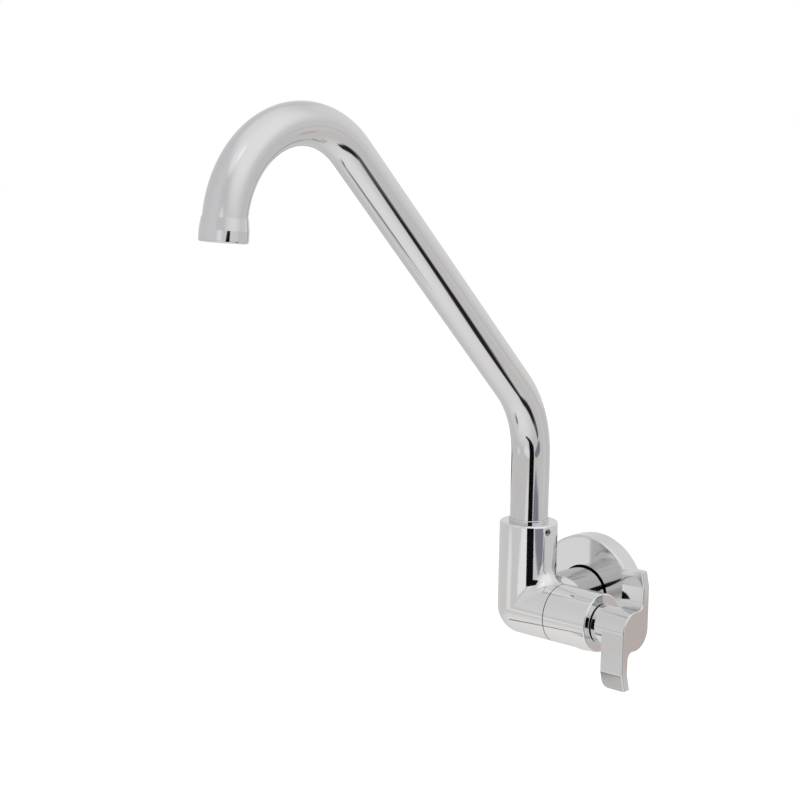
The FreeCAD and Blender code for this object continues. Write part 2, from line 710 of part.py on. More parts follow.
def valveSleeve():
    low, high = S.seamAt + S.seamGap, S.sleeveEnd
    hole = S.neckRadius + S.closeFit
    body = turned("sleeve", [(S.sleeveBore, low), (S.barrelRadius, low), (S.barrelRadius, high), (hole, high),
                             (hole, high - S.sleeveFloor), (S.sleeveBore, high - S.sleeveFloor)])
    smoothed(body, "sleeve_edge", circleAt(S.barrelRadius, high), S.sleeveEdge)
    return onValveAxis(body, "valve_sleeve")


# Lever. In the drawing plane local x points down, and local -y into the room.

def isUpright(edge, x, y):
    """True for an edge along local Z that stands at x, y or at the half-turned place."""
    spot = middle(edge)
    if abs(edge.tangentAt(edge.FirstParameter).z) < ALONG:
        return False
    return min(math.hypot(spot.x - x, spot.y - y), math.hypot(spot.x + x, spot.y + y)) < EDGE_MATCH


def leverHandle():
    body = newBody("lever")
    hubFace = newSketch(body, "hub_face", height=S.hubStart)
    drawCircle(hubFace, 0, 0, S.hubRadius)
    padded(body, hubFace, "hub", S.hubEnd - S.hubStart)
    wing = newSketch(body, "wing_outline", height=S.wingStart)
    drawOutline(wing, [(0, -S.hubRadius), (S.wingKink, -S.hubRadius), (S.wingTip, -S.tipOuter),
                       (S.wingTip, -S.tipInner), (S.wingKink, -S.wingInner), (0, -S.wingInner)])
    one = padded(body, wing, "wing", S.hubEnd - S.wingStart)
    repeated(body, one, "wings", WING_COUNT)

    root = math.sqrt(S.hubRadius.value ** 2 - S.wingInner.value ** 2)
    smoothed(body, "wing_roots", lambda edge: isUpright(edge, root, -S.wingInner.value), S.wingRoot)
    smoothed(body, "wing_bends", lambda edge: isUpright(edge, S.wingKink.value, -S.hubRadius.value)
             or isUpright(edge, S.wingKink.value, -S.wingInner.value), S.wingBend)

    def isEndOutline(edge):
        return all(abs(vertex.Z - S.hubEnd.value) < NEAR for vertex in edge.Vertexes)
    smoothed(body, "end_outline", isEndOutline, S.leverEdge)

    def isHubStart(edge):
        return abs(middle(edge).z - S.hubStart.value) < NEAR
    smoothed(body, "hub_edge", isHubStart, S.leverEdge / 2)

    def isInnerTip(edge):
        spot = middle(edge)
        return abs(abs(spot.x) - S.wingTip.value) < NEAR and abs(spot.z - S.wingStart.value) < NEAR
    smoothed(body, "tip_corners", isInnerTip, S.tipCorner)

    bore = newSketch(body, "spline_bore", height=S.hubStart)
    drawCircle(bore, 0, 0, S.splineRoot + S.slip)
    depth = S.splineDepth - S.hubStart
    pocketed(body, bore, "bore", depth, reverse=True)
    slot = newSketch(body, "spline_slot", height=S.hubStart)
    drawOutline(slot, toothGap(S.splineRoot - S.slip, S.splineTip + S.slip, S.slotRootHalf, S.slotTipHalf))
    cutSlot = pocketed(body, slot, "spline_slot_cut", depth, reverse=True)
    repeated(body, cutSlot, "spline_slots", SPLINE_TEETH)
    screw = newSketch(body, "lever_screw_hole", "YZ_Plane")
    drawCircle(screw, 0, S.leverGrubAt, S.grubRadius + S.grubSlip)
    pocketed(body, screw, "lever_screw_bore", S.hubRadius + S.overshoot, reverse=True)
    return onValveAxis(body, "lever_handle")


def grubScrew(name, label, tipLength, tipRadius, placement):
    """A headless screw along local +Z: a tip, a shank and a hexagon socket in the outer end."""
    tipLength, tipRadius = asSize(tipLength), asSize(tipRadius)
    shank = cylinder(name + "_shank", S.grubRadius, S.grubLength, (0, 0, tipLength))
    tip = cylinder(name + "_tip", tipRadius, tipLength + S.overshoot, (0, 0, 0))
    socket = doc.addObject("Part::Prism", name + "_socket")
    socket.Polygon = 6
    bind(socket, "Circumradius", S.grubHex)
    bind(socket, "Height", S.grubHexDepth + S.overshoot)
    low = tipLength + S.grubLength - S.grubHexDepth
    socket.Placement = Placement(Vector(0, 0, low.value), Rotation())
    bind(socket, "Placement.Base.z", low)
    screw = cut(name, fused(name + "_solid", shank, tip), socket)
    screw.Placement = placement
    return finished(screw, label)


def leverScrew():
    inner = S.splineTip.value + S.closeFit.value
    place = Vector(S.leverGrubAt.value - S.inletOffset.value, -S.wallToSwivel.value, -inner)
    down = Rotation(Vector(1, 0, 0), 180)
    return grubScrew("lever_screw", "handle_grub_screw", S.leverGrubTip, S.screwTip, Placement(place, down))


def spoutScrew():
    grooveFloor = S.tubeRadius - S.screwGrooveDepth
    inner = grooveFloor.value + S.screwTipGap.value
    turn = math.radians(S.screwTurn.value)
    outward = Vector(math.cos(turn), -math.sin(turn), 0)
    height = S.socketTop.value - S.screwBelowTop.value
    place = Vector(-S.inletOffset.value, -S.wallToSwivel.value, height) + outward * inner
    rotation = Rotation(Vector(0, 0, 1), outward)
    tipLength = S.screwGrooveDepth - S.screwTipGap + S.grubSlip
    return grubScrew("spout_screw", "spout_grub_screw", tipLength, S.screwTip, Placement(place, rotation))


# Spout: local height is the height above the valve axis

def onSwivelAxis(body, label):
    standOnSwivel(body, SOCKET_AXIS)
    return finished(body, label)


def spoutTube():
    body = newBody("tube")
    ring = newSketch(body, "tube_section")
    drawCircle(ring, 0, 0, S.tubeRadius)
    drawCircle(ring, 0, 0, S.tubeRadius - S.tubeWall)
    line = newSketch(body, "tube_centre_line", "XZ_Plane")
    slant = math.radians(S.slant.value)
    tilt = math.radians(S.outletTilt.value)
    up = Vector(0, 0, 1)
    lower = Part.Circle(path.lowerCentre, up, S.lowerBend.value)
    upper = Part.Circle(path.upperCentre, up, S.upperBend.value)
    rise = line.addGeometry(Part.LineSegment(path.foot, path.bend), False)
    bendIn = line.addGeometry(Part.ArcOfCircle(lower, math.pi - slant, math.pi), False)
    slope = line.addGeometry(Part.LineSegment(path.slopeStart, path.slopeEnd), False)
    bendOut = line.addGeometry(Part.ArcOfCircle(upper, tilt, math.pi - slant), False)
    drop = line.addGeometry(Part.LineSegment(path.bendEnd, path.tubeEnd), False)
    line.addConstraint(Sketcher.Constraint("Coincident", rise, 1, -1, 1))
    line.addConstraint(Sketcher.Constraint("Vertical", rise))
    for first, firstEnd, second, secondEnd in ((rise, 2, bendIn, 2), (bendIn, 1, slope, 1),
                                               (slope, 2, bendOut, 2), (bendOut, 1, drop, 1)):
        line.addConstraint(Sketcher.Constraint("Tangent", first, firstEnd, second, secondEnd))
    bindConstraint(line, "Distance", S.tubeRise - S.tubeFoot, rise)
    bindConstraint(line, "Radius", S.lowerBend, bendIn)
    bindConstraint(line, "Distance", S.longRun, slope)
    bindConstraint(line, "Radius", S.upperBend, bendOut)
    bindConstraint(line, "Distance", S.outletRun - S.tubeShort, drop)
    number = line.addConstraint(Sketcher.Constraint("Angle", slope, math.pi / 2 - slant))
    line.setExpression("Constraints[%d]" % number, "90 deg - Sizes.slant * 1 deg")
    number = line.addConstraint(Sketcher.Constraint("Angle", drop, tilt - math.pi / 2))
    line.setExpression("Constraints[%d]" % number, "Sizes.outletTilt * 1 deg - 90 deg")
    doc.recompute()
    pipe = body.newObject("PartDesign::AdditivePipe", "tube_bent")
    pipe.Profile = ring
    pipe.Spine = line
    doc.recompute()
    standOnSwivel(body, Rotation(Vector(0, 0, 1), -90), S.socketTop + S.tubeFoot)
    return finished(body, "spout_tube")


def spoutSpigot():
    outer, bore = S.tubeRadius, S.spigotBore
    foot = S.socketTop + S.tubeFoot
    neck = S.tubeRadius - S.tubeWall - S.closeFit
    ringDepth, ringHalf = S.ringSection * 2, S.ringSection + S.grooveSlack
    guideHalf = S.guideDepth / 2 + S.closeFit
    outline = [(bore, S.spigotFoot), (outer, S.spigotFoot)]
    outline += grooveOutline(outer, S.guideThick, S.lowerGuideAt, guideHalf)
    outline += grooveOutline(outer, ringDepth, S.lowerRingAt, ringHalf)
    outline += grooveOutline(outer, ringDepth, S.upperRingAt, ringHalf)
    outline += grooveOutline(outer, S.guideThick, S.upperGuideAt, guideHalf)
    outline += grooveOutline(outer, S.screwGrooveDepth, S.socketTop - S.screwBelowTop, S.screwGroove / 2)
    outline += [(outer, foot), (neck, foot), (neck, foot + S.spigotNeck), (bore, foot + S.spigotNeck)]
    body = turned("spigot", outline)
    chamfered(body, "spigot_lead", circleAt(outer, S.spigotFoot), S.guideThick / 2)
    return onSwivelAxis(body, "spout_spigot")


def spoutRing(name, label, at):
    ring = doc.addObject("Part::Torus", name)
    bind(ring, "Radius1", S.tubeRadius + S.slip - S.closeFit - S.ringSection)
    bind(ring, "Radius2", S.ringSection)
    standOnSwivel(ring, SOCKET_AXIS, at)
    return finished(ring, label)


def guideRing(name, label, at):
    inner = S.tubeRadius - S.guideThick + S.closeFit
    outer = S.tubeRadius + S.slip - S.closeFit
    half = S.guideDepth / 2
    return onSwivelAxis(turned(name, ringOutline(inner, outer, at - half, at + half)), label)


def socketLipRing():
    low = S.socketTop
    body = turned("lip", ringOutline(S.tubeRadius + S.lipGap, S.lipRadius, low, low + S.lipDepth))
    smoothed(body, "lip_edge", circleAt(S.lipRadius, low + S.lipDepth), S.lipEdge)
    return onSwivelAxis(body, "socket_lip_ring")


# Aerator: local height runs from the shell's upper edge down to the outlet

def atOutlet(body, label):
    standAtOutlet(body)
    return finished(body, label)


def aeratorShell():
    low = S.collarDepth
    bore = S.tubeRadius + S.closeFit
    body = turned("shell", [(bore, 0), (S.collarThroat, 0), (S.collarRadius, S.collarFlare),
                            (S.collarRadius, low), (S.collarMouth, low),
                            (S.collarMouth, low - S.collarLip), (bore, low - S.collarLip)])
    smoothed(body, "shell_edge", circleAt(S.collarRadius, low), S.collarEdge)
    return atOutlet(body, "aerator_shell")


def aeratorWasher():
    low = S.collarDepth - S.tubeShort
    ring = ringOutline(S.cupRadius + S.closeFit, S.tubeRadius - S.closeFit, low, low + S.aeratorWasher)
    return atOutlet(turned("outlet_washer", ring), "aerator_washer")


def aeratorCup():
    rimTop = S.collarDepth - S.tubeShort + S.aeratorWasher
    rimEnd = S.collarDepth - S.collarLip
    rim = S.tubeRadius - S.closeFit
    outside = [(S.cupRadius, S.cupTop), (S.cupRadius, rimTop), (rim, rimTop), (rim, rimEnd),
               (S.cupRadius, rimEnd), (S.cupRadius, S.cupEnd)]
    body = turned("cup", [(S.cupBore, S.cupTop)] + outside + [(S.cupBore, S.cupEnd)])
    return atOutlet(body, "aerator_cup")


def holedDisc(name, label, low, high, holes, rings):
    """A disc in the cup with a centre hole and rings of holes, as (ring radius, number of holes)."""
    body = newBody(name)
    face = newSketch(body, name + "_face", height=low)
    drawCircle(face, 0, 0, S.cupBore - S.closeFit)
    padded(body, face, name + "_blank", high - low)
    centre = newSketch(body, name + "_centre", height=low)
    drawCircle(centre, 0, 0, holes)
    pocketed(body, centre, name + "_centre_hole", reverse=True)
    for number, (radius, count) in enumerate(rings):
        spot = newSketch(body, "%s_spot_%d" % (name, number), height=low)
        drawCircle(spot, radius, 0, holes)
        hole = pocketed(body, spot, "%s_hole_%d" % (name, number), reverse=True)
        repeated(body, hole, "%s_ring_%d" % (name, number), count)
    return atOutlet(body, label)


bodyCasting()
wallFlange()
flangeSeal()
headworkHousing()
headworkGasket()
seatSeal()
ceramicDisc("fixed", "fixed_disc", S.discStart, S.discSplit, 0)
ceramicDisc("turning", "turning_disc", S.discSplit + S.closeFit, S.discEnd, 90)
spindle()
spindleRing("inner_ring", "spindle_o_ring_inner", S.innerRingAt)
spindleRing("outer_ring", "spindle_o_ring_outer", S.outerRingAt)
spindleWasher()
spindleClip()
valveSleeve()
leverHandle()
leverScrew()
spoutTube()
spoutSpigot()
spoutRing("lower_ring", "spout_o_ring_lower", S.lowerRingAt)
spoutRing("upper_ring", "spout_o_ring_upper", S.upperRingAt)
guideRing("lower_guide", "guide_ring_lower", S.lowerGuideAt)
guideRing("upper_guide", "guide_ring_upper", S.upperGuideAt)
spoutScrew()
socketLipRing()
aeratorShell()
aeratorWasher()
aeratorCup()
jets = [(S.jetRing, OUTER_JETS), (S.jetRingInner, INNER_JETS)]
holedDisc("straightener", "aerator_insert", S.insertTop, S.insertEnd, S.jetRadius, jets)
holedDisc("mesh", "aerator_screen", S.screenTop, S.screenTop + S.screenDepth, S.meshRadius, MESH_RINGS)
doc.recompute()

for item in doc.Objects:
    if "Invalid" in item.State or "Error" in item.State:
        raise ValueError("failed: %s (%s)" % (item.Label, item.State))
for thing, label in subParts:
    shape = thing.Shape
    if shape.isNull() or not shape.isValid():
        raise ValueError("bad shape: " + label)
    if len(shape.Solids) != 1:
        raise ValueError("%s has %d solids" % (label, len(shape.Solids)))

os.makedirs("parts", exist_ok=True)
for thing, label in subParts:
    thing.Shape.exportStep("parts/%s.step" % label)
    box = thing.Shape.BoundBox
    print("%-22s %9.1f mm3  x %6.1f %6.1f  y %6.1f %6.1f  z %6.1f %6.1f" % (
        label, thing.Shape.Volume, box.XMin, box.XMax, box.YMin, box.YMax, box.ZMin, box.ZMax))
print(len(subParts), "sub-parts")
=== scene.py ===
import json
import math
import bpy
import bmesh
from mathutils import Matrix, Vector


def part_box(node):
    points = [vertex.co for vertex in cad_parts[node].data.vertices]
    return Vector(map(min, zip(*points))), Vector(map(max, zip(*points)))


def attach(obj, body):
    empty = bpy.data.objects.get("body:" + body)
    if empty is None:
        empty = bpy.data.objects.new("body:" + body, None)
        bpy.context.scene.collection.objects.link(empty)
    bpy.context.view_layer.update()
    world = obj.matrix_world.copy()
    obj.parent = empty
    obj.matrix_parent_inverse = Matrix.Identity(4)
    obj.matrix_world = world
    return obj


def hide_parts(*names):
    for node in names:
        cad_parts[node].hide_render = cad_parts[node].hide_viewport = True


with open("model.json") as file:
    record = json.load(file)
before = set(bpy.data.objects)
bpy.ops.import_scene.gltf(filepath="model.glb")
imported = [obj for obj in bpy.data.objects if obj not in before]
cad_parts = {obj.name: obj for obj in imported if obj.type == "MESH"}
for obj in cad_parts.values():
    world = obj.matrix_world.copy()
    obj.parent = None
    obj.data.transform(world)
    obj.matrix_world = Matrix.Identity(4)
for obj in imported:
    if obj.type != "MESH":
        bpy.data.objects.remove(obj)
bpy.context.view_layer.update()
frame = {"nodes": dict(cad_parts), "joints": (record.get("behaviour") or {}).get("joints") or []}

mm = 0.001


# A socket that takes part in Python expressions
class Wire:
    def __init__(self, tree, socket):
        self.tree, self.socket = tree, socket

    def maths(self, operation, *values):
        node = self.tree.nodes.new("ShaderNodeMath")
        node.operation = operation
        for place, value in enumerate(values):
            plug(self.tree, node.inputs[place], value)
        return Wire(self.tree, node.outputs[0])

    def __add__(self, other): return self.maths("ADD", self, other)
    def __radd__(self, other): return self.maths("ADD", other, self)
    def __sub__(self, other): return self.maths("SUBTRACT", self, other)
    def __rsub__(self, other): return self.maths("SUBTRACT", other, self)
    def __mul__(self, other): return self.maths("MULTIPLY", self, other)
    def __rmul__(self, other): return self.maths("MULTIPLY", other, self)
    def __gt__(self, other): return self.maths("GREATER_THAN", self, other)
    def __lt__(self, other): return self.maths("LESS_THAN", self, other)


def plug(tree, socket, value):
    if isinstance(value, Wire):
        tree.links.new(value.socket, socket)
    else:
        socket.default_value = value


# One node tree that is being wired up
class Recipe:
    def __init__(self, tree):
        self.tree = tree

    # Adds a node: its settings first, then the values or links of its sockets
    def node(self, kind, settings=None, sockets=None, output=0):
        made = self.tree.nodes.new(kind)
        for name, value in (settings or {}).items():
            setattr(made, name, value)
        for name, value in (sockets or {}).items():
            plug(self.tree, made.inputs[name], value)
        return Wire(self.tree, made.outputs[output]) if made.outputs else None


def newFinish(name):
    material = bpy.data.materials.new(name)
    material.use_nodes = True
    material.node_tree.nodes.clear()
    return material, Recipe(material.node_tree)


# Place on the object in metres, which stays with the piece as it moves
def objectPlace(recipe):
    return recipe.node("ShaderNodeTexCoord", None, None, 3)


def stretched(recipe, place, scale):
    return recipe.node("ShaderNodeVectorMath", {"operation": "MULTIPLY"}, {0: place, 1: scale})


def noise(recipe, place, size, detail=2.0):
    return recipe.node("ShaderNodeTexNoise", None, {"Vector": place, "Scale": 1 / size, "Detail": detail})


def blendColour(recipe, share, first, second):
    return recipe.node("ShaderNodeMix", {"data_type": "RGBA"}, {0: share, 6: first, 7: second}, 2)


def blendValue(share, first, second):
    return first + share * (second - first)


def smoothStep(recipe, value, start, end):
    return recipe.node("ShaderNodeMapRange", {"interpolation_type": "SMOOTHSTEP"}, {
        "Value": value, "From Min": start, "From Max": end})


def raised(recipe, height, distance):
    return recipe.node("ShaderNodeBump", None, {"Height": height, "Distance": distance, "Strength": 1.0})


def surface(recipe, colour, metallic, roughness, normal=None, extra=None):
    sockets = {"Base Color": colour, "Metallic": metallic, "Roughness": roughness}
    if normal is not None:
        sockets["Normal"] = normal
    shader = recipe.node("ShaderNodeBsdfPrincipled", None, {**sockets, **(extra or {})})
    recipe.node("ShaderNodeOutputMaterial", None, {"Surface": shader})


acrossPipe, acrossTable = (1, 0, 1), (1, 1, 0)


# Distance from the inlet's axis, which runs along Y through the frame's origin
def awayFromPipe(recipe, place):
    flat = stretched(recipe, place, acrossPipe)
    return recipe.node("ShaderNodeVectorMath", {"operation": "LENGTH"}, {0: flat}, 1)


def alongAxis(recipe, place, output):
    return recipe.node("ShaderNodeSeparateXYZ", None, {0: place}, output)


brassLook = {
    "bright": (0.78, 0.57, 0.27, 1),
    "dull": (0.60, 0.42, 0.20, 1),
    "patchSize": 6 * mm,
    "patchEdge": (0.40, 0.66),          # share of the noise where a patch starts and is full
    "stainSize": 3 * mm,
    "roughness": (0.22, 0.36),
    "toolMarks": 0.18 * mm,             # pitch of the turning marks
    "markDepth": 0.004 * mm,
}


# Brass is duller in patches
def brassColour(recipe, place):
    patches = smoothStep(recipe, noise(recipe, place, brassLook["patchSize"], 3.0), *brassLook["patchEdge"])
    return blendColour(recipe, patches, brassLook["bright"], brassLook["dull"])


# Turned brass has fine tool marks round its axis
def turnedBrass(name, axis):
    material, recipe = newFinish(name)
    place = objectPlace(recipe)
    marks = (alongAxis(recipe, place, axis) * (2 * math.pi / brassLook["toolMarks"])).maths("SINE")
    roughness = blendValue(noise(recipe, place, brassLook["stainSize"]), *brassLook["roughness"])
    normal = raised(recipe, marks, brassLook["markDepth"])
    surface(recipe, brassColour(recipe, place), 1.0, roughness, normal)
    return material


chromeLook = {
    "warm": (0.668, 0.664, 0.664, 1),
    "cool": (0.664, 0.668, 0.680, 1),
    # The cast and lever tones are the tube's chrome painted brighter: painted light for the brighter
    # reflections that the body, sleeve, lever and flange catch
    "castLitWarm": (0.742, 0.738, 0.736, 1),
    "castLitCool": (0.738, 0.742, 0.750, 1),
    "leverLitWarm": (0.702, 0.696, 0.694, 1),
    "leverLitCool": (0.696, 0.698, 0.708, 1),
    "hazeSize": 7 * mm,
    "hazeEdge": (0.35, 0.65),
    "scratchWidth": 0.12 * mm,
    "scratchLength": 14 * mm,
    "scratchEdge": (0.66, 0.74),
    "scratchRoughness": 0.03,
    "rawRoughness": 0.34,
}


# Bright chrome plate. The polishing wheel leaves a slow ripple, a faint haze and hairline scratches along
# the grain. Where a mask says so the piece is raw brass
def chromePlate(name, tones, haze, ripple, rippleSize, grain, raw=None):
    material, recipe = newFinish(name)
    place = objectPlace(recipe)
    cloud = noise(recipe, place, chromeLook["hazeSize"], 3.0)
    long, wide = 1 / chromeLook["scratchLength"], 1 / chromeLook["scratchWidth"]
    hairs = noise(recipe, stretched(recipe, place, tuple(long if axis else wide for axis in grain)), 1.0)
    scratched = smoothStep(recipe, hairs, *chromeLook["scratchEdge"])
    warm, cool = (chromeLook[tone] for tone in tones)
    colour = blendColour(recipe, smoothStep(recipe, cloud, *chromeLook["hazeEdge"]), warm, cool)
    roughness = blendValue(cloud, *haze) + scratched * chromeLook["scratchRoughness"]
    normal = raised(recipe, noise(recipe, place, rippleSize, 1.0), ripple)
    if raw:
        bare = raw(recipe, place)
        colour = blendColour(recipe, bare, colour, brassColour(recipe, place))
        roughness = blendValue(bare, roughness, chromeLook["rawRoughness"])
    surface(recipe, colour, 1.0, roughness, normal)
    return material


# The inlet's bore isn't plated
def rawInletBore(recipe, place):
    bore = {"radius": 6.9 * mm, "depth": 9 * mm}
    return (awayFromPipe(recipe, place) < bore["radius"]) * (alongAxis(recipe, place, 1) > -bore["depth"])


# Pressed sheet: plated outside, bare dull zinc inside the hollow, painted dark grey there as painted shade in
# the recess
def pressedChrome():
    hollow = {"radius": 33.55 * mm, "depth": 10.98 * mm, "roughness": 0.5, "spangle": 2.5 * mm,
              "dark": (0.10, 0.10, 0.105, 1), "light": (0.16, 0.16, 0.165, 1)}
    plate = {"cloudSize": 9 * mm, "roughness": (0.05, 0.10), "rippleSize": 16 * mm, "ripple": 0.010 * mm}
    material, recipe = newFinish("pressedChrome")
    place = objectPlace(recipe)
    nearPipe = awayFromPipe(recipe, place) < hollow["radius"]
    inside = nearPipe * (alongAxis(recipe, place, 1) > -hollow["depth"])
    cloud = noise(recipe, place, plate["cloudSize"], 3.0)
    spangle = recipe.node("ShaderNodeTexVoronoi", None, {"Vector": place, "Scale": 1 / hollow["spangle"]})
    # The plated face takes the lever's brighter tones: painted light
    plated = blendColour(recipe, cloud, chromeLook["leverLitWarm"], chromeLook["leverLitCool"])
    # Bare zinc painted far darker than zinc is: painted shade inside the hollow
    shadedZinc = blendColour(recipe, spangle, hollow["dark"], hollow["light"])
    colour = blendColour(recipe, inside, plated, shadedZinc)
    roughness = blendValue(inside, blendValue(cloud, *plate["roughness"]), hollow["roughness"])
    ripple = noise(recipe, place, plate["rippleSize"], 1.0)
    surface(recipe, colour, 1.0, roughness, raised(recipe, ripple, plate["ripple"]))
    return material


mouldedLook = {"shadeSize": 4 * mm, "shadeEdge": (0.35, 0.65), "grainRoughness": 0.08}


def moulded(name, light, dark, roughness, grainSize, grainDepth, coat=0.0):
    material, recipe = newFinish(name)
    place = objectPlace(recipe)
    shade = smoothStep(recipe, noise(recipe, place, mouldedLook["shadeSize"], 3.0), *mouldedLook["shadeEdge"])
    grain = noise(recipe, place, grainSize)
    grained = roughness + grain * mouldedLook["grainRoughness"]
    normal = raised(recipe, grain, grainDepth)
    surface(recipe, blendColour(recipe, shade, light, dark), 0.0, grained, normal, {"Coat Weight": coat})
    return material


# Closed cells: a net of thin walls between shallow pits, the pits painted darker as painted shade
def closedCellFoam():
    cell = {"size": 0.55 * mm, "depth": 0.12 * mm, "wallEdge": (0.0, 0.22), "roughness": (0.86, 0.94),
            "wall": (0.050, 0.050, 0.052, 1), "shadedPit": (0.022, 0.022, 0.024, 1)}
    material, recipe = newFinish("closedCellFoam")
    place = objectPlace(recipe)
    walls = recipe.node("ShaderNodeTexVoronoi", {"feature": "DISTANCE_TO_EDGE"}, {
        "Vector": place, "Scale": 1 / cell["size"]})
    pits = smoothStep(recipe, walls, *cell["wallEdge"])
    colour = blendColour(recipe, pits, cell["wall"], cell["shadedPit"])
    roughness = blendValue(pits, *cell["roughness"])
    surface(recipe, colour, 0.0, roughness, raised(recipe, 1 - pits, cell["depth"]))
    return material


# Stainless wire cloth: over and under in both directions, the gaps between the wires painted dark as painted
# shade
def wovenSteel():
    wire = {"pitch": 0.42 * mm, "height": 0.08 * mm, "edge": (-0.6, 0.3), "roughness": 0.30,
            "gap": (0.10, 0.10, 0.10, 1), "top": (0.60, 0.60, 0.59, 1)}
    material, recipe = newFinish("wovenSteel")
    place = objectPlace(recipe)
    turn = 2 * math.pi / wire["pitch"]
    over = (alongAxis(recipe, place, 0) * turn).maths("SINE")
    under = (alongAxis(recipe, place, 1) * turn).maths("SINE")
    weave = over * under
    colour = blendColour(recipe, smoothStep(recipe, weave, *wire["edge"]), wire["gap"], wire["top"])
    surface(recipe, colour, 1.0, wire["roughness"], raised(recipe, weave, wire["height"]))
    return material


def stainlessSteel():
    steelLook = {"grain": (1, 1, 12), "grainSize": 1.5 * mm, "grainDepth": 0.01 * mm,
                 "roughness": (0.24, 0.38), "dark": (0.30, 0.29, 0.28, 1), "light": (0.44, 0.43, 0.42, 1)}
    material, recipe = newFinish("stainlessSteel")
    place = objectPlace(recipe)
    lathe = noise(recipe, stretched(recipe, place, steelLook["grain"]), steelLook["grainSize"], 3.0)
    colour = blendColour(recipe, lathe, steelLook["dark"], steelLook["light"])
    roughness = blendValue(lathe, *steelLook["roughness"])
    surface(recipe, colour, 1.0, roughness, raised(recipe, lathe, steelLook["grainDepth"]))
    return material


alongBarrel, alongTube = (1, 0, 0), (0, 1, 1)    # 1 where the grain runs
# The cast and lever tones are brighter copies of the tube's chrome: painted light
tubeTones, castLitTones, leverLitTones = ("warm", "cool"), ("castLitWarm", "castLitCool"), ("leverLitWarm", "leverLitCool")
# Name, tones, roughness between haze and clear, height and size of the ripple, grain
tubeChrome = chromePlate("tubeChrome", tubeTones, (0.035, 0.075), 0.006 * mm, 14 * mm, alongTube)
castChrome = chromePlate(
    "castChrome", castLitTones, (0.030, 0.070), 0.010 * mm, 11 * mm, alongTube, rawInletBore)
turnedChrome = chromePlate("turnedChrome", castLitTones, (0.025, 0.060), 0.004 * mm, 12 * mm, alongBarrel)
leverChrome = chromePlate("leverChrome", leverLitTones, (0.040, 0.090), 0.008 * mm, 9 * mm, alongBarrel)
collarChrome = chromePlate("collarChrome", tubeTones, (0.035, 0.070), 0.004 * mm, 12 * mm, alongTube)
flangeChrome = pressedChrome()
barrelBrass = turnedBrass("barrelBrass", 0)
spoutBrass = turnedBrass("spoutBrass", 2)
# Name, two colours, roughness, size and depth of the grain, coat
rubber = (0.018, 0.018, 0.018, 1), (0.030, 0.029, 0.028, 1)
ceramic = (0.84, 0.83, 0.80, 1), (0.78, 0.77, 0.74, 1)
plastic = (0.80, 0.80, 0.77, 1), (0.72, 0.72, 0.69, 1)
nitrile = moulded("nitrile", *rubber, 0.52, 0.35 * mm, 0.02 * mm)
alumina = moulded("alumina", *ceramic, 0.16, 0.20 * mm, 0.001 * mm, 0.4)
acetal = moulded("acetal", *plastic, 0.36, 0.30 * mm, 0.008 * mm)
foam = closedCellFoam()
steel = stainlessSteel()
wireCloth = wovenSteel()

finishOf = {
    "body_casting": castChrome, "wall_flange": flangeChrome, "valve_sleeve": turnedChrome,
    "lever_handle": leverChrome, "socket_lip_ring": collarChrome, "aerator_shell": collarChrome,
    "spout_tube": tubeChrome, "flange_seal": foam, "headwork_housing": barrelBrass, "spindle": barrelBrass,
    "spout_spigot": spoutBrass, "fixed_disc": alumina, "turning_disc": alumina, "spindle_washer": acetal,
    "guide_ring_lower": acetal, "guide_ring_upper": acetal, "aerator_cup": acetal,
    "aerator_insert": acetal, "aerator_screen": wireCloth, "spindle_clip": steel,
    "handle_grub_screw": steel, "spout_grub_screw": steel,
}


def setFinish(piece, finish):
    piece.data.materials.clear()
    piece.data.materials.append(finish)


for name, node in frame["nodes"].items():
    setFinish(node, finishOf.get(name, nitrile))    # what is left are the rubber seals
print("finishes set on", len(frame["nodes"]), "nodes")


def placed(name, data):
    thing = bpy.data.objects.new(name, data)
    bpy.context.scene.collection.objects.link(thing)
    return thing


# A piece that takes the place of a CAD node on one of the bodies
def newPiece(name, mesh, sharpAngle, finish, body, node):
    mesh.validate()
    mesh.set_sharp_from_angle(angle=math.radians(sharpAngle))
    piece = placed(name, mesh)
    setFinish(piece, finish)
    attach(piece, body)
    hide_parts(node)


spout = {                               # the bent tube, as the frame has it
    "radius": 11.0 * mm,
    "wall": 1.0 * mm,
    "foot": 50.6 * mm,                  # above the valve axis
    "rise": 37.4 * mm,
    "lowerBend": 60.0 * mm,
    "slant": 45.0,                      # degrees from upright
    "longRun": 188.0 * mm,
    "upperBend": 50.0 * mm,
    "outletTilt": 5.0,
    "outletRun": 7.0 * mm,              # the tube ends inside the collar
    "ringStep": 1.5 * mm,
    "sides": 96,
    "sharpAngle": 35,
}


# Centre line as reach, height and heading from upright, close together in the bends
def spoutLine():
    reach, height, heading = 0.0, spout["foot"], 0.0
    line = [(reach, height, heading)]

    def straight(length):
        nonlocal reach, height
        reach += length * math.sin(heading)
        height += length * math.cos(heading)
        line.append((reach, height, heading))

    def bend(radius, turn):
        nonlocal reach, height, heading
        steps = math.ceil(radius * turn / spout["ringStep"])
        for _ in range(steps):
            chord = 2 * radius * math.sin(turn / steps / 2)
            middle = heading + turn / steps / 2
            reach += chord * math.sin(middle)
            height += chord * math.cos(middle)
            heading += turn / steps
            line.append((reach, height, heading))

    slant = math.radians(spout["slant"])
    straight(spout["rise"])
    bend(spout["lowerBend"], slant)
    straight(spout["longRun"])
    bend(spout["upperBend"], math.pi - slant - math.radians(spout["outletTilt"]))
    straight(spout["outletRun"])
    return line


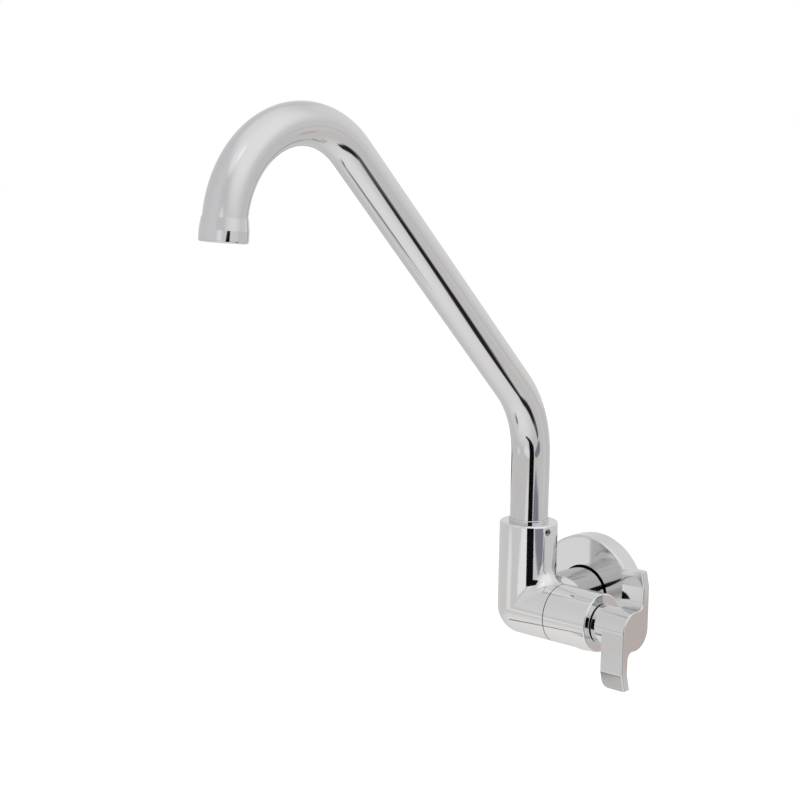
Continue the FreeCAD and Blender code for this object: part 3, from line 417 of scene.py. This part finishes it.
def spoutTube():
    swivelAxis = Vector(frame["joints"][0]["pos_m"])
    line, sides = spoutLine(), spout["sides"]
    points, faces = [], []
    for radius in (spout["radius"], spout["radius"] - spout["wall"]):
        for reach, height, heading in line:
            for side in range(sides):
                turn = 2 * math.pi * side / sides
                out = radius * math.cos(turn)
                points.append((swivelAxis.x + radius * math.sin(turn),
                               swivelAxis.y - reach - out * math.cos(heading),
                               height - out * math.sin(heading)))
    rings = len(line)
    inner = rings * sides
    for side in range(sides):
        after = (side + 1) % sides
        for ring in range(rings - 1):
            low, high = ring * sides, (ring + 1) * sides
            faces.append((low + side, high + side, high + after, low + after))
            faces.append((inner + low + side, inner + low + after, inner + high + after, inner + high + side))
        top = (rings - 1) * sides
        faces.append((side, after, inner + after, inner + side))
        faces.append((top + side, inner + top + side, inner + top + after, top + after))
    mesh = bpy.data.meshes.new("spoutTube")
    mesh.from_pydata(points, [], faces)
    mesh.shade_smooth()
    newPiece("spoutTube", mesh, spout["sharpAngle"], tubeChrome, "spout", "spout_tube")


spoutTube()
corners = [tuple(round(value / mm, 2) for value in corner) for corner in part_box("spout_tube")]
print("spout tube made, CAD box in mm", corners)

wallThread = {                          # G1/2 pipe thread on the inlet
    "crest": 10.48 * mm,
    "depth": 1.162 * mm,
    "pitch": 1.814 * mm,
    "shoulder": -3.0 * mm,              # where the arm ends
    "relief": 2.2 * mm,                 # plain neck behind the thread
    "end": 13.0 * mm,
    "lead": 1.3 * mm,                   # chamfer at the open end
    "bore": 6.5 * mm,
    "sides": 96,
    "slip": 0.001,                      # keeps the first corner of a rim first
    "slack": 0.05 * mm,                 # how far a corner may be off its place
    "weld": 0.002 * mm,
    "speck": 0.001 * mm,                # edges shorter than this go
    "sharpAngle": 28,
    "profile": ((0.0, 0.0), (0.10, 0.0), (0.24, 0.30), (0.40, 0.86), (0.47, 1.0), (0.60, 1.0),
                (0.67, 0.86), (0.83, 0.30), (0.97, 0.0)),   # share of a pitch, share of the depth
}


# Radius of the thread at a place along it: the profile, cut back by the neck and the lead
def threadRadius(place, share):
    root = wallThread["crest"] - wallThread["depth"]
    neckEnd = wallThread["shoulder"] + wallThread["relief"]
    leadStart = wallThread["end"] - wallThread["lead"]
    full = root + wallThread["depth"] * share
    fromNeck = root + max(0.0, place - neckEnd)
    fromEnd = wallThread["crest"] - max(0.0, place - leadStart)
    return min(full, fromNeck, fromEnd)


def threadRows():
    start, end, pitch = wallThread["shoulder"], wallThread["end"], wallThread["pitch"]
    turns = math.ceil((end - start) / pitch) + 2
    return [(turn + along, share) for turn in range(-1, turns) for along, share in wallThread["profile"]]


def bodyWithThread():
    node = frame["nodes"]["body_casting"]
    mesh = node.data.copy()
    work = bmesh.new()
    work.from_mesh(mesh)
    slack = wallThread["slack"]

    def away(vertex):
        return math.hypot(vertex.co.x, vertex.co.z)

    def onStub(face):
        return all(vertex.co.y > wallThread["shoulder"] - slack
                   and wallThread["bore"] - slack < away(vertex) < wallThread["crest"] + slack
                   for vertex in face.verts)

    # The bore's own wall has all its corners on the bore and stays
    def onBore(face):
        return all(abs(away(vertex) - wallThread["bore"]) < slack for vertex in face.verts)

    stub = [face for face in work.faces if onStub(face) and not onBore(face)]
    bmesh.ops.delete(work, geom=stub, context="FACES")
    rows, sides = threadRows(), wallThread["sides"]
    start, end, pitch = wallThread["shoulder"], wallThread["end"], wallThread["pitch"]

    def turned(vertex):
        return (math.atan2(vertex.co.z, vertex.co.x) + wallThread["slip"]) % (2 * math.pi)

    # The open edge's corners at one radius and place, in order round the pipe
    def rim(radius, along):
        found = [vertex for vertex in work.verts if vertex.is_boundary
                 and abs(vertex.co.y - along) < slack and abs(away(vertex) - radius) < slack]
        return sorted(found, key=turned)

    # Closes the band between two rims, which may differ in their number of corners
    def joinRims(first, second):
        firstTurns = [turned(vertex) for vertex in first] + [turned(first[0]) + 2 * math.pi]
        secondTurns = [turned(vertex) for vertex in second] + [turned(second[0]) + 2 * math.pi]
        one = two = 0
        while one < len(first) or two < len(second):
            if two == len(second) or (one < len(first) and firstTurns[one + 1] <= secondTurns[two + 1]):
                corners = (first[one], first[(one + 1) % len(first)], second[two % len(second)])
                one += 1
            else:
                corners = (first[one % len(first)], second[(two + 1) % len(second)], second[two])
                two += 1
            work.faces.new(corners).smooth = True

    grid = []
    for row, share in rows:
        line = []
        for side in range(sides + 1):
            turn = side / sides
            along = min(max(start + (row + turn) * pitch, start), end)
            radius = threadRadius(along, share)
            angle = 2 * math.pi * turn
            line.append(work.verts.new((radius * math.cos(angle), along, radius * math.sin(angle))))
        grid.append(line)
    for first, second in zip(grid, grid[1:]):
        for side in range(sides):
            work.faces.new((first[side], first[side + 1], second[side + 1], second[side])).smooth = True
    threadVerts = [vertex for line in grid for vertex in line]
    bmesh.ops.remove_doubles(work, verts=threadVerts, dist=wallThread["weld"])
    bmesh.ops.dissolve_degenerate(work, edges=work.edges[:], dist=wallThread["speck"])
    root = wallThread["crest"] - wallThread["depth"]
    joinRims(rim(wallThread["crest"], start), rim(root, start))
    joinRims(rim(wallThread["crest"] - wallThread["lead"], end), rim(wallThread["bore"], end))
    bmesh.ops.recalc_face_normals(work, faces=work.faces[:])
    work.to_mesh(mesh)
    work.free()
    newPiece("bodyCasting", mesh, wallThread["sharpAngle"], castChrome, "tap_body", "body_casting")


bodyWithThread()
print("body made with its wall thread")

# Studio: what the chrome mirrors. A white tent with soft lamps all round, and dark boards low down
studio = {
    "tent": (0.81, 0.805, 0.815, 1),    # what the chrome sees of the tent
    "lamps": [                          # azimuth from the wall toward +X, elevation, core, edge, colour
        (0, 90, 6, 42, (0.98, 0.98, 0.98, 1)),
        (84, 44, 8, 52, (1.07, 1.065, 1.06, 1)),
        (5, 22, 4, 34, (0.90, 0.895, 0.89, 1)),
        (152, 2, 3, 15, (0.99, 0.985, 0.98, 1)),
        (150, 58, 4, 24, (1.06, 1.06, 1.07, 1)),
        (137, 56, 2, 10, (1.22, 1.22, 1.23, 1)),
    ],
    "shades": [
        (-95, 30, 10, 60, (0.75, 0.75, 0.755, 1)),
        (-28, 42, 2, 18, (0.75, 0.755, 0.77, 1)),
        (148, 24, 4, 30, (0.74, 0.735, 0.755, 1)),
        (55, 14, 4, 22, (0.78, 0.765, 0.75, 1)),
    ],
    "backdrop": (1, 1, 1, 1),           # what the camera sees
    "fill": (1.08, 1.08, 1.08, 1),      # what lights the dull surfaces
}


def towards(azimuth, elevation):
    a, e = math.radians(azimuth), math.radians(elevation)
    return (math.sin(a) * math.cos(e), math.cos(a) * math.cos(e), math.sin(e))


def lobe(recipe, ray, azimuth, elevation, core, edge):
    near = recipe.node("ShaderNodeVectorMath", {"operation": "DOT_PRODUCT"}, {
        0: ray, 1: towards(azimuth, elevation)}, 1)
    return smoothStep(recipe, near, math.cos(math.radians(edge)), math.cos(math.radians(core)))


def studioTent():
    world = bpy.data.worlds.new("studioTent")
    bpy.context.scene.world = world
    world.use_nodes = True
    world.node_tree.nodes.clear()
    recipe = Recipe(world.node_tree)
    ray = recipe.node("ShaderNodeTexCoord")
    tent = studio["tent"]
    for azimuth, elevation, core, edge, colour in studio["shades"] + studio["lamps"]:
        tent = blendColour(recipe, lobe(recipe, ray, azimuth, elevation, core, edge), tent, colour)
    seen = recipe.node("ShaderNodeLightPath", None, None, "Is Camera Ray")
    mirrored = recipe.node("ShaderNodeLightPath", None, None, "Is Glossy Ray")
    plain = blendColour(recipe, seen, studio["fill"], studio["backdrop"])
    glow = recipe.node("ShaderNodeBackground", None, {"Color": blendColour(recipe, mirrored, plain, tent)})
    recipe.node("ShaderNodeOutputWorld", None, {"Surface": glow})
    bpy.context.scene.view_settings.view_transform = "Standard"


table = {                               # the table under the tap, as the chrome mirrors it
    "height": -0.22,
    "reach": 6.0,
    "pale": (0.74, 0.725, 0.715, 1),    # far away
    # Painted pool of light: the glowing table sheet is brighter right below the tap and toward the lamps
    "litUnderfoot": (1.02, 1.01, 1.0, 1),  # right below the tap and toward the lamps
    "poolPlace": (0.06, -0.30),
    "poolInner": 0.02,
    "poolOuter": 0.62,
    "boards": [                         # line from, to, half width at each end, soft edge, colour
        ((0.20, -0.90), (0.50, -1.10), 0.150, 0.150, 0.150, (0.980, 0.980, 0.980, 1)),
        ((-0.58, -0.76), (-0.62, -0.88), 0.080, 0.080, 0.130, (0.920, 0.915, 0.910, 1)),
        ((1.05, 0.90), (1.25, 1.05), 0.100, 0.100, 0.250, (0.820, 0.775, 0.740, 1)),
        ((0.48, 0.53), (0.54, 0.60), 0.050, 0.050, 0.080, (0.640, 0.570, 0.540, 1)),
        ((-0.10, -0.225), (-0.108, -0.245), 0.012, 0.012, 0.030, (0.640, 0.635, 0.620, 1)),
        ((-0.122, -0.245), (-0.136, -0.276), 0.015, 0.020, 0.020, (0.220, 0.220, 0.230, 1)),
        ((0.45, -0.035), (0.78, -0.020), 0.050, 0.050, 0.070, (0.120, 0.120, 0.130, 1)),
        ((0.27, -0.050), (0.50, -0.045), 0.030, 0.055, 0.045, (0.020, 0.020, 0.024, 1)),
        ((1.12, -0.100), (1.17, -0.400), 0.190, 0.190, 0.050, (0.260, 0.250, 0.300, 1)),
        ((-0.196, -0.185), (-0.188, -0.335), 0.003, 0.005, 0.006, (0.270, 0.225, 0.200, 1)),
        ((-0.80, 1.20), (-1.50, 0.55), 0.100, 0.160, 0.060, (0.030, 0.030, 0.034, 1)),
    ],
}


# 1 on a straight board on the table, 0 away from it
def board(recipe, place, start, end, startHalf, endHalf, soft):
    start, end = Vector((*start, 0)), Vector((*end, 0))
    line = end - start
    fromStart = recipe.node("ShaderNodeVectorMath", {"operation": "SUBTRACT"}, {0: place, 1: start})
    along = recipe.node("ShaderNodeVectorMath", {"operation": "DOT_PRODUCT"}, {
        0: fromStart, 1: line / line.length_squared}, 1)
    share = recipe.node("ShaderNodeClamp", None, {"Value": along})
    foot = recipe.node("ShaderNodeVectorMath", {"operation": "SCALE"}, {0: tuple(line), "Scale": share})
    away = recipe.node("ShaderNodeVectorMath", {"operation": "DISTANCE"}, {0: fromStart, 1: foot}, 1)
    return smoothStep(recipe, away - blendValue(share, startHalf, endHalf), soft, 0.0)


def stageSheet(name, points):
    mesh = bpy.data.meshes.new(name)
    mesh.from_pydata(points, [], [tuple(range(len(points)))])
    sheet = placed(name, mesh)
    return sheet


# A sheet that only the chrome sees
def mirroredSheet(name, points, colourOf):
    sheet = stageSheet(name, points)
    sheet.visible_camera = sheet.visible_diffuse = sheet.visible_shadow = sheet.visible_transmission = False
    material, recipe = newFinish(name)
    glowing = recipe.node("ShaderNodeEmission", None, {"Color": colourOf(recipe), "Strength": 1.0})
    recipe.node("ShaderNodeOutputMaterial", None, {"Surface": glowing})
    setFinish(sheet, material)


def square(reach, height):
    return [(x, y, height) for x, y in ((-reach, -reach), (reach, -reach), (reach, reach), (-reach, reach))]


def tableColour(recipe):
    place = stretched(recipe, objectPlace(recipe), acrossTable)
    pool = recipe.node("ShaderNodeVectorMath", {"operation": "DISTANCE"}, {
        0: place, 1: (*table["poolPlace"], 0)}, 1)
    # Painted pool of light under the tap on the glowing table sheet
    nearness = smoothStep(recipe, pool, table["poolOuter"], table["poolInner"])
    colour = blendColour(recipe, nearness, table["pale"], table["litUnderfoot"])
    for start, end, startHalf, endHalf, soft, tint in table["boards"]:
        colour = blendColour(recipe, board(recipe, place, start, end, startHalf, endHalf, soft), colour, tint)
    return colour


standingBoard = {                       # black card that stands on the table, in front and to the right
    "place": -0.47,
    "colour": (0.004, 0.004, 0.005, 1),
    "outline": ((0.12, -0.22), (0.12, -0.20), (0.255, -0.165), (0.262, 0.2305), (0.312, 0.235),
                (0.346, 0.237), (0.424, 0.24), (0.49, 0.2415), (0.554, 0.24), (0.66, 0.233), (0.70, -0.22)),
}
studioTent()
mirroredSheet("mirroredTable", square(table["reach"], table["height"]), tableColour)
mirroredSheet("standingBoard", [(x, standingBoard["place"], z) for x, z in standingBoard["outline"]],
              lambda recipe: standingBoard["colour"])

floor = {"height": -0.2205, "reach": 6.0, "colour": (0.93, 0.93, 0.93, 1)}


# The pale floor that the camera sees, from above only
def paleFloor():
    ground = stageSheet("paleFloor", square(floor["reach"], floor["height"]))
    ground.visible_glossy = False
    material, recipe = newFinish("paleFloor")
    paper = recipe.node("ShaderNodeBsdfDiffuse", None, {"Color": floor["colour"]})
    clear = recipe.node("ShaderNodeBsdfTransparent")
    below = recipe.node("ShaderNodeNewGeometry", None, None, "Backfacing")
    mixed = recipe.node("ShaderNodeMixShader", None, {0: below, 1: paper, 2: clear})
    recipe.node("ShaderNodeOutputMaterial", None, {"Surface": mixed})
    setFinish(ground, material)


paleFloor()

softLamp = {"place": (0.35, -0.55, 0.95), "aim": (0.0, -0.12, 0.1), "size": 0.9, "power": 9.0}


# One soft lamp shapes what isn't polished; the chrome has the tent's own lamps
def hangLamp():
    light = bpy.data.lights.new("softLamp", "AREA")
    light.size, light.energy = softLamp["size"], softLamp["power"]
    lamp = placed("softLamp", light)
    lamp.visible_glossy = lamp.visible_camera = False
    aim = Vector(softLamp["aim"]) - Vector(softLamp["place"])
    turn = aim.to_track_quat("-Z", "Y").to_matrix().to_4x4()
    lamp.matrix_world = Matrix.Translation(softLamp["place"]) @ turn


hangLamp()
print("studio set")

cameraPlace = {
    "location": (0.6872, -0.9212, 0.3055),
    "forward": (-0.6684, 0.7250, -0.1662),
    "roll": 0.017,
    "lens": 88.70,
    "sensor": 36.0,
}


def photoCamera():
    camera = bpy.data.cameras.new("photoCamera")
    camera.lens, camera.sensor_width = cameraPlace["lens"], cameraPlace["sensor"]
    camera.sensor_fit = "HORIZONTAL"
    holder = placed("photoCamera", camera)
    forward = Vector(cameraPlace["forward"]).normalized()
    right = forward.cross(Vector((0, 0, 1))).normalized()
    up = right.cross(forward)
    turn = cameraPlace["roll"]
    rightRolled = right * math.cos(turn) + up * math.sin(turn)
    upRolled = up * math.cos(turn) - right * math.sin(turn)
    basis = Matrix((rightRolled, upRolled, -forward)).transposed()
    holder.matrix_world = Matrix.Translation(cameraPlace["location"]) @ basis.to_4x4()
    bpy.context.scene.camera = holder


photoCamera()
print("camera set")
